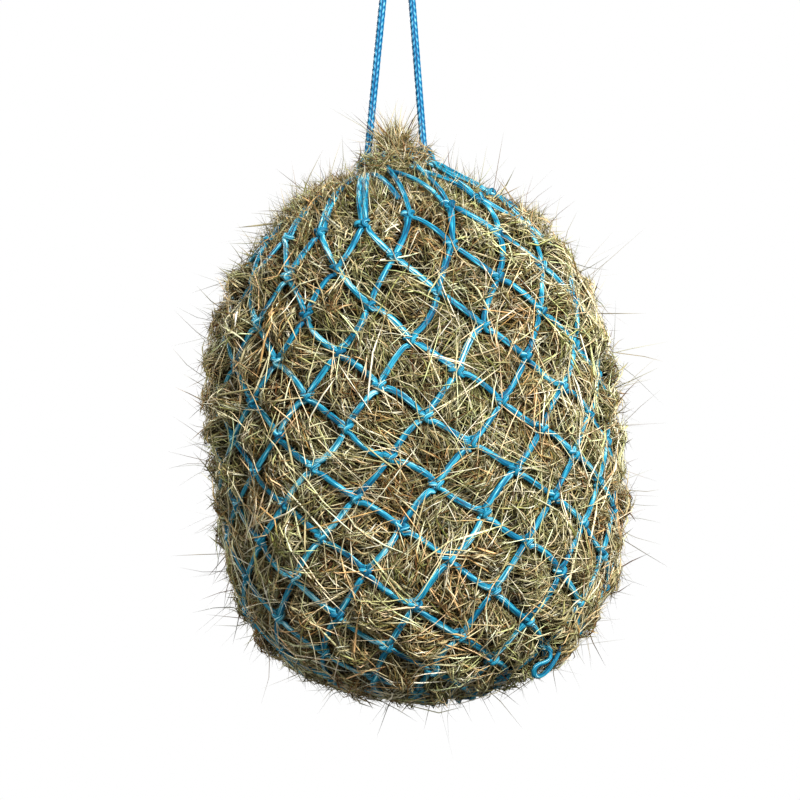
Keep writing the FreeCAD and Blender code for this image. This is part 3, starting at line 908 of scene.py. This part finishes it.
# From its knot, in millimetres: to the right round the bag, up, and away from the bag.
SLACK_OUTLINE = np.array(((1, 0, 3), (5, -4, 6), (2, -12, 8), (-8, -15, 9), (-20, -16, 7),
                          (-19, -26, 4), (-7, -28, 4), (6, -20, 5), (16, -10, 6),
                          (24, 0, 4), (29, 7, -2)))


def level_spoke(points):
    """Level unit direction from the bag's middle to points."""
    return unit((points - BAG_CENTRE) * (1, 1, 0))


def slack_loop():
    """The slack bight low on the right: down to the left, round, and up to the right."""
    anchor = net_point(12, 1)
    radial = level_spoke(anchor)
    side = np.cross(UP, radial)
    route = anchor + along_axes(SLACK_OUTLINE * MM, side, UP, radial)
    path = spline_points("slack_loop_line", route)[::3]
    made, line = twine("slack_twine_loop", path, np.zeros(len(path)), "slack_loop", seed=77)
    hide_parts("slack_loop")


# ---------------- hay
def sideways(points):
    """How far round to a side points lie: -1 at the left, 1 at the right."""
    return level_spoke(points)[..., 0]


def belt(points, height, reach):
    """1 at a height and less away from it, by exp(-((z - height) / reach)^2)."""
    return np.exp(-((points[..., 2] - height) / reach) ** 2)


def overflow(points):
    """1 where hay wells up over the twine, left of the mouth, and 0 elsewhere."""
    return smooth(0.3, 0.85, -sideways(points)) * belt(points, -262 * MM, 28 * MM)


def slants(row, column):
    """Numbers of the meshes along the net's two slants."""
    return row / 2 + column, row / 2 - column


def hay_height(points):
    """Height of the hay over the netting surface at points of that surface.

    With a and b the mesh numbers along the two slants, it is -5 mm at the twine and swells
    by 17 mm * |sin(pi a) sin(pi b)| ** 0.6 in a mesh, and evens out at mouth and bottom.
    It is fuller by 8 mm at both shoulders and leaner by 5 mm low on the left, and wells up
    by 12 mm beside the mouth on the left.
    """
    row, column = net_place(points)
    a, b = slants(row, column)
    bulge = np.abs(np.sin(math.pi * a) * np.sin(math.pi * b)) ** 0.6
    meshed = smooth(-0.3, 1.2, row) * smooth(15.0, 14.0, row)
    crown = 17 * (1 + 0.35 * ripple(points, 0.10, 5))
    right = sideways(points)
    shoulder = smooth(0.55, 0.95, np.abs(right)) * belt(points, -400 * MM, 100 * MM)
    hollow = smooth(0.4, 0.9, -right) * belt(points, -600 * MM, 70 * MM)
    fuller = (8 * shoulder - 5 * hollow) * (0.4 + 0.6 * bulge)
    return MM * (meshed * (-5 + crown * bulge + fuller) - 3.5 * (1 - meshed)
                 + 12 * overflow(points)
                 + 2.6 * ripple(points, 0.04, 6) * (0.2 + 0.8 * bulge))


def twine_distance(row, column):
    """Distance to the nearest mesh side, in mesh sides, from 0 to 0.5."""
    a, b = slants(row, column)
    return np.minimum(np.abs(a - np.round(a)), np.abs(b - np.round(b)))


def under_twine(lines):
    """How far each of a stem's four points has to duck for the twine that its runs cross.

    Thirteen places along the stem are tried, and a place counts less for a point the
    nearer it is to that point's neighbour.
    """
    place = np.linspace(0, 3, 13)
    first = np.minimum(place.astype(int), 2)
    part = (place - first)[None, :, None]
    tried = lines[:, first] * (1 - part) + lines[:, first + 1] * part
    row, column = net_place(tried)
    near = smooth(0.16, 0.07, twine_distance(row, column)) * smooth(-0.4, 0.1, row)
    share = np.clip((1 - np.abs(place[None] - np.arange(4)[:, None]) - 0.05) * 2.2, 0, 1)
    return (near[:, None, :] * share[None]).max(-1)


# Of each stem's eight points: the faces, and their places in its cell of the flat layout.
STEM_QUADS = np.array(((1, 2, 5, 4), (2, 3, 6, 5), (3, 1, 4, 6)))
STEM_TIPS = np.array(((0, 2, 1), (0, 3, 2), (0, 1, 3), (7, 4, 5), (7, 5, 6), (7, 6, 4)))
STEM_CELL = np.array(((0.5, 0.08), (0.15, 0.34), (0.5, 0.34), (0.85, 0.34),
                      (0.15, 0.66), (0.5, 0.66), (0.85, 0.66), (0.5, 0.92)))


def spindles(name, lines, thick, side, out, tone, shade):
    """Stems as thin three-sided spindles: a point, two rings of three, and a point.

    lines has four points a stem, thick a radius at each of the two rings.  tone is how pale
    a stem is, shade how much light reaches it, and hue goes from brown over straw to green.
    """
    count = len(lines)
    angle = np.radians((90, 210, 330))[:, None]
    spread = side[:, None] * np.cos(angle) + out[:, None] * np.sin(angle)
    points = np.concatenate((lines[:, :1], lines[:, 1:2] + spread * thick[:, :1, None],
                             lines[:, 2:3] + spread * thick[:, 1:, None], lines[:, 3:]), 1)
    base = (np.arange(count) * 8)[:, None, None]
    quads = (base + STEM_QUADS).reshape(-1, 4)
    tips = (base + STEM_TIPS).reshape(-1, 3)
    made = mesh_object(name, points.reshape(-1, 3), quads, tips)
    hue = np.random.default_rng(count).uniform(size=count) + 0.22 * ripple(lines[:, 1], 0.09, 31)
    for note, values in (("tone", tone), ("shade", shade), ("hue", np.clip(hue, 0, 1))):
        note_points(made, note, np.repeat(values, 8))
    cells = math.ceil(math.sqrt(count))
    cell = joined(np.arange(count) % cells, np.arange(count) // cells)
    corner = (cell[:, None] + STEM_CELL).reshape(-1, 2) / cells
    uses = np.concatenate((quads.reshape(-1), tips.reshape(-1)))
    lay_flat(made, corner[uses])
    return finish_piece(made, HAY_FINISH, "filled_net")


STEM_TIMES = np.array((-0.5, -0.17, 0.17, 0.5))
REACH_PAST = np.array((20, 20, 25)) * MM
REACH_LOW = np.array(cad_box[0]) - REACH_PAST
REACH_HIGH = np.array(cad_box[1]) + REACH_PAST


def stem_sizes(chance, count, middle, spread, low, high):
    """Lognormal sizes round a middle size, all in millimetres, cut off below and above."""
    return np.clip(chance.lognormal(math.log(middle * MM), spread, count), low * MM, high * MM)


def scattered(count, chance):
    """Points spread evenly by area over the netting surface."""
    direction = unit(chance.normal(size=(count * 3, 3)))
    points = on_surface(direction)
    facing = np.clip((direction * outward(points)).sum(-1), 0.15, 1)
    weight = np.linalg.norm(points - NET_CENTRE, axis=1) ** 2 / facing
    kept = chance.uniform(size=len(points)) < weight / np.quantile(weight, 0.995)
    return points[kept][:count]


def tangents(points):
    """Unit directions round and down the surface, and out of it, at each of its points."""
    out = outward(points)
    around = unit(np.cross(UP, out) + 1e-6)
    return around, np.cross(around, out), out


def stem_turn(middle, row, column, chance):
    """Slant of each stem: just over half keep near their mesh's own, the rest are random."""
    count = len(middle)
    a, b = np.floor(slants(row, column))
    own = np.modf(np.abs(np.sin((a * 37 + b * 101) * 12.9898) * 43758.5453))[0] * math.pi
    turn = np.where(chance.uniform(size=count) < 0.55, own + chance.normal(0, 0.45, count),
                    chance.uniform(0, math.pi, count))
    return (turn + 0.6 * ripple(middle, 0.05, 9))[:, None]


COAT_PIECES = 8
LOOSE_SHARE = 0.032              # of the coat's stems
LOOSE_LIFT = 3.4 * MM
FILL_DEPTH = 13 * MM


def hay_coat(count, seed):
    """The coat of stems over the whole fill, in eight pieces.

    A stem lies in the surface, follows the hay's height by half and its own straight line
    by half, and ducks under the twine.  A small share, longer and paler, lies loose over
    the twine.  Towards the mouth, stems that lie round the bag are shorter, and all stand
    steeper.
    """
    chance = np.random.default_rng(seed)
    middle = scattered(count, chance)
    count = len(middle)
    row, column = net_place(middle)
    turn = stem_turn(middle, row, column, chance)
    around, down, out = tangents(middle)
    heading = around * np.cos(turn) + down * np.sin(turn)
    side = np.cross(out, heading)
    length = stem_sizes(chance, count, 31, 0.36, 13, 66)[:, None]
    depth = chance.uniform(size=(count, 1)) ** 1.25
    loose = (chance.uniform(size=count) < LOOSE_SHARE) & (row > 0.8)
    lies_over = loose[:, None]
    length = np.where(lies_over, length * 1.5 + 14 * MM, length)
    depth = np.where(lies_over, 0.0, depth)
    upper = smooth(2.4, 0.6, row)[:, None]
    length *= 1 - 0.5 * upper * np.abs(np.cos(turn))
    bow = chance.normal(0, 0.035, (count, 1)) * np.array((0, 1.0, 0.8, -0.3))
    flat = middle[:, None] + along_axes(joined(STEM_TIMES, bow) * length[..., None],
                                        heading[:, None], side[:, None])
    skin = on_surface(unit(flat - NET_CENTRE))
    field = hay_height(skin)
    level = field * 0.55 + field.mean(1, keepdims=True) * 0.45
    slope = chance.normal(0, 1, (count, 1))
    steep = slope * upper * length
    level += (slope * 8.84 * MM * STEM_TIMES + steep * 0.9 * STEM_TIMES
              - np.abs(steep) * 0.25 + chance.normal(0, 1.1 * MM, (count, 4))
              - FILL_DEPTH * depth)
    near = under_twine(flat) * (1 - 0.75 * overflow(flat))
    ducked = np.minimum(level, -3.2 * MM - 3.0 * MM * depth)
    level = np.where(lies_over, np.maximum(level, LOOSE_LIFT), level + (ducked - level) * near)
    lines = np.clip(skin + outward(skin) * level[..., None], REACH_LOW, REACH_HIGH)
    radius = stem_sizes(chance, count, 0.47, 0.42, 0.2, 1.25)
    thick = radius[:, None] * chance.uniform(0.8, 1.1, (count, 2))
    tone = np.clip(chance.beta(1.25, 1.35, count) + 0.1 * ripple(middle, 0.07, 11), 0, 1)
    tone = np.where(loose, tone * 0.5 + 0.5, tone)
    # Painted shade: the deeper a stem lies in the fill, the lower its shade and the darker its
    # colour.
    shade = np.clip(1.0 - 0.95 * depth[:, 0] + chance.normal(0, 0.06, count), 0.08, 1.0)
    ahead = unit(lines[:, 3] - lines[:, 0])
    out = unit(squared(out, ahead))
    parts = lines, thick, np.cross(out, ahead), out, tone, shade
    band = np.argsort(np.arctan2(middle[:, 0], -middle[:, 1]), kind="stable")
    for number, chosen in enumerate(np.array_split(band, COAT_PIECES), 1):
        spindles("hay_coat_%d" % number, *(part[chosen] for part in parts))


def free_stems(name, foot, direction, length, radius, tone, shade, chance, curl):
    """Stems that stand free from a foot along a direction and bend to one side."""
    side = unit(np.cross(direction, unit(chance.normal(size=foot.shape))))
    bend = chance.normal(0, curl, (len(foot), 1))
    t = np.array((0.0, 0.33, 0.66, 1.0))
    lines = foot[:, None] + along_axes(joined(t, bend * t ** 2) * length[:, None, None],
                                       direction[:, None], side[:, None])
    return spindles(name, np.clip(lines, REACH_LOW, REACH_HIGH),
                    radius[:, None] * np.array((1.0, 0.75)), side, np.cross(side, direction),
                    tone, shade)


TUFT_REACH = 62 * MM             # no stray stems this near to the mouth's centre
ROOT_DEPTH = 7 * MM


def hay_strays(count, seed):
    """Stray stems that stand out through the meshes and fringe the bag's outline."""
    chance = np.random.default_rng(seed)
    place = scattered(count, chance)
    place = place[np.linalg.norm(place - MOUTH_CENTRE, axis=1) > TUFT_REACH]
    count = len(place)
    around, down, out = tangents(place)
    turn = chance.uniform(0, 2 * math.pi, (count, 1))
    rise = np.radians(5 + 42 * chance.uniform(size=count) ** 1.7)[:, None]
    direction = (out * np.sin(rise)
                 + (around * np.cos(turn) + down * np.sin(turn)) * np.cos(rise))
    root = hay_height(place) - ROOT_DEPTH
    top = stem_sizes(chance, count, 19, 0.34, 11, 36)
    top *= 1 - 0.5 * smooth(-0.60, -0.70, place[:, 2])
    length = np.clip((top - root) / np.sin(rise[:, 0]), 9 * MM, 48 * MM)
    radius = stem_sizes(chance, count, 0.33, 0.4, 0.18, 0.8)
    # Every stray stem gets a painted shade of 0.8, which darkens its colour.
    made = free_stems("hay_strays", place + out * root[:, None], direction, length, radius,
                      chance.beta(1.1, 2.2, count), np.full(count, 0.8), chance, 0.6)
    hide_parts("loose_stems")


IN_HEAP, IN_HEAP_OR_RISING = 0.63, 0.695


def hay_tuft(count, seed):
    """The heap of stems that swells out through the drawn mouth and falls over its cord.

    Three kinds: a tangle in the heap, stems that rise from it, and stems lying round it
    over the mouth cord.  None stand where the two legs run.
    """
    chance = np.random.default_rng(seed)
    kind = np.searchsorted((IN_HEAP, IN_HEAP_OR_RISING), chance.uniform(size=count))
    kinds = [(kind == number)[:, None] for number in range(3)]
    angle = chance.uniform(0, 2 * math.pi, count)
    spot = chance.uniform(size=(count, 1)) ** 0.62
    height = chance.uniform(size=(count, 1))
    ring = mouth_oval(angle)
    out = unit(ring)
    middle = MOUTH_CENTRE + np.select(kinds, (
        ring * spot * (1 - 0.62 * height ** 1.4) * 0.94
        + UP * (-24 + 42 * height + 7 * (1 - spot)) * MM,
        ring * spot * 0.62 + UP * (4 + 16 * height) * MM,
        ring * (1.42 - 0.1 * height) + UP * (-16 + 22 * height) * MM))
    random = unit(chance.normal(size=(count, 3)))
    direction = unit(np.select(kinds, (
        random * (1, 1, 0.8) + MOUTH_UP * 0.18,
        random * 0.85 + MOUTH_UP * (1, 1, 1.1) + out * spot * 0.25,
        random + np.cross(out, UP) * chance.normal(0, 1.0, (count, 1)) - out * 0.25)))
    length = np.array((22, 25, 27))[kind] * MM * np.exp(chance.normal(0, 0.36, count))
    length = np.clip(length, 9 * MM, 50 * MM)
    length += 22 * MM * ((kind == 1) & (chance.uniform(size=count) < 0.2))
    foot = middle - direction * (length * np.array((0.5, 0.25, 0.5))[kind])[:, None]
    radius = stem_sizes(chance, count, 0.38, 0.42, 0.17, 1.0)
    tone = chance.beta(1.1, 1.35, count)
    # Painted shade: stems in the heap get a random shade from 0.45 to 1, those that rise 0.95
    # and those lying round it 0.9, which darken their colour.
    shade = np.where(kind == 0, chance.uniform(0.45, 1.0, count), 1 - 0.05 * kind)
    kept = (np.abs(np.sin(angle)) < 0.8) | ((spot[:, 0] < 0.8) & (kind < 2))
    stems = (part[kept] for part in (foot, direction, length, radius, tone, shade))
    made = free_stems("hay_tuft_stems", *stems, chance, 0.4)
    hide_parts("hay_tuft")


CORE_DEPTH = 12 * MM


def hay_core():
    """The body under the coat, dark with painted shade, everywhere the same depth below the
    hay's height.
    """
    rings, sides = 170, 220
    polar = np.linspace(0.02, math.pi - 0.02, rings)[:, None]
    skin = on_surface(from_angles(polar, circle(sides)))
    points = skin + outward(skin) * (hay_height(skin) - CORE_DEPTH)[..., None]
    poles = points[[0, -1]].mean(1)
    # The rings run downwards, so every face is walked the other way round.
    quads, caps = ring_faces(rings, sides)
    made = mesh_object("hay_core", np.concatenate((points.reshape(-1, 3), poles)),
                       quads[:, [0, 3, 2, 1]], caps[:, [0, 2, 1]])
    finish_piece(made, CORE_FINISH, "filled_net")
    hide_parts("hay_fill")


# ---------------- make
drawcord()
slack_loop()
mouth_cord()
netting()
bottom_cord()
hay_core()
hay_coat(count=100000, seed=21)
hay_strays(count=3600, seed=22)
hay_tuft(count=5200, seed=23)


# ---------------- light
LIT_PLACE = Vector((0, 0, -0.5))


def soft_light(name, place, size, power):
    """A square area light that faces the middle of the bag."""
    lamp = bpy.data.lights.new(name, "AREA")
    lamp.size = size
    lamp.energy = power
    made = bpy.data.objects.new(name, lamp)
    made.location = place
    made.rotation_euler = (Vector(place) - LIT_PLACE).to_track_quat("Z", "Y").to_euler()
    bpy.context.scene.collection.objects.link(made)


soft_light("key_light", (1.2, -2.1, 0.75), 0.5, 168)
soft_light("fill_light", (-1.9, -1.9, 0.1), 1.6, 20)
soft_light("back_light", (-1.3, 2.3, 0.5), 1.8, 150)

# The backdrop is white to the camera, and lights the bag with a quarter of that.
world = bpy.data.worlds.new("studio")
world.use_nodes = True
backing = world.node_tree.nodes["Background"]
backing.inputs["Color"].default_value = (1.0, 1.0, 1.0, 1.0)
paths = world.node_tree.nodes.new("ShaderNodeLightPath")
level = world.node_tree.nodes.new("ShaderNodeMapRange")
level.inputs["To Min"].default_value = 0.25
world.node_tree.links.new(paths.outputs["Is Camera Ray"], level.inputs["Value"])
world.node_tree.links.new(level.outputs["Result"], backing.inputs["Strength"])
bpy.context.scene.world = world
bpy.context.scene.view_settings.view_transform = "Standard"
